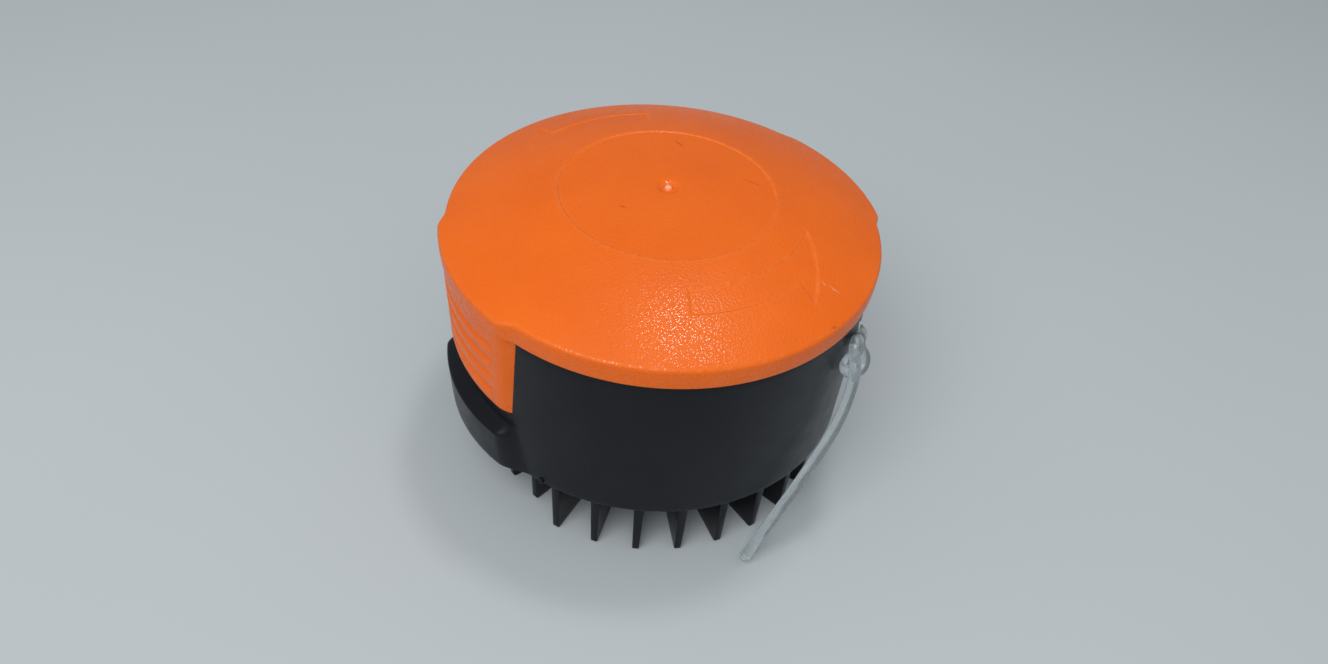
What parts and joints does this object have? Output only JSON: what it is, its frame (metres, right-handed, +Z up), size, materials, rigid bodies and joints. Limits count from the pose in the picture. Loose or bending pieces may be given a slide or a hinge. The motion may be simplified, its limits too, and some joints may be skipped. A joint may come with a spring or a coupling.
{
  "type": "trimmer line head",
  "caption": "Automatic-feed line head of a grass trimmer: domed cap with ribbed grip tabs on a finned cup that holds a reel of nylon line, its knotted end hanging outside.",
  "frame": {"origin": "on the head's axis, in the plane of the fin bottoms that the head stands on", "axes": "+Z up along the head's axis, out through the cap; X through the middles of the two grip tabs; the line comes out towards -Y"},
  "size_m": [0.094, 0.0942, 0.0668],
  "materials": {
    "orange_plastic": "satin, finely grained",
    "black_plastic": "satin",
    "reel_plastic": "satin",
    "steel": "plain",
    "nylon_line": "clear, slightly cloudy"
  },
  "bodies": {
    "housing": {"housing": "black_plastic", "drive_bush": "steel", "exit_eyelet": "steel", "line_lead": "nylon_line", "line_knot": "nylon_line", "line_tail": "nylon_line"},
    "cap": {"cap": "orange_plastic", "cap_spring": "steel"},
    "spool": {"reel": "reel_plastic", "line_winding": "nylon_line"},
    "lever": {"feed_lever": "reel_plastic"}
  },
  "joints": [
    {"name": "cap_lift", "type": "slide", "parent": "housing", "child": "cap", "axis": [0, 0, 1], "range_m": [0, 0.04]},
    {"name": "spool_turn", "type": "hinge", "parent": "housing", "child": "spool", "pos_m": [0, 0, 0.0375], "axis": [0, 0, 1], "range_deg": [-6.5, 6.5]},
    {"name": "lever_swing", "type": "hinge", "parent": "housing", "child": "lever", "pos_m": [-0.01755, 0.03, 0.0208], "axis": [0, 0, 1], "range_deg": [0, 25.6]}
  ]
}
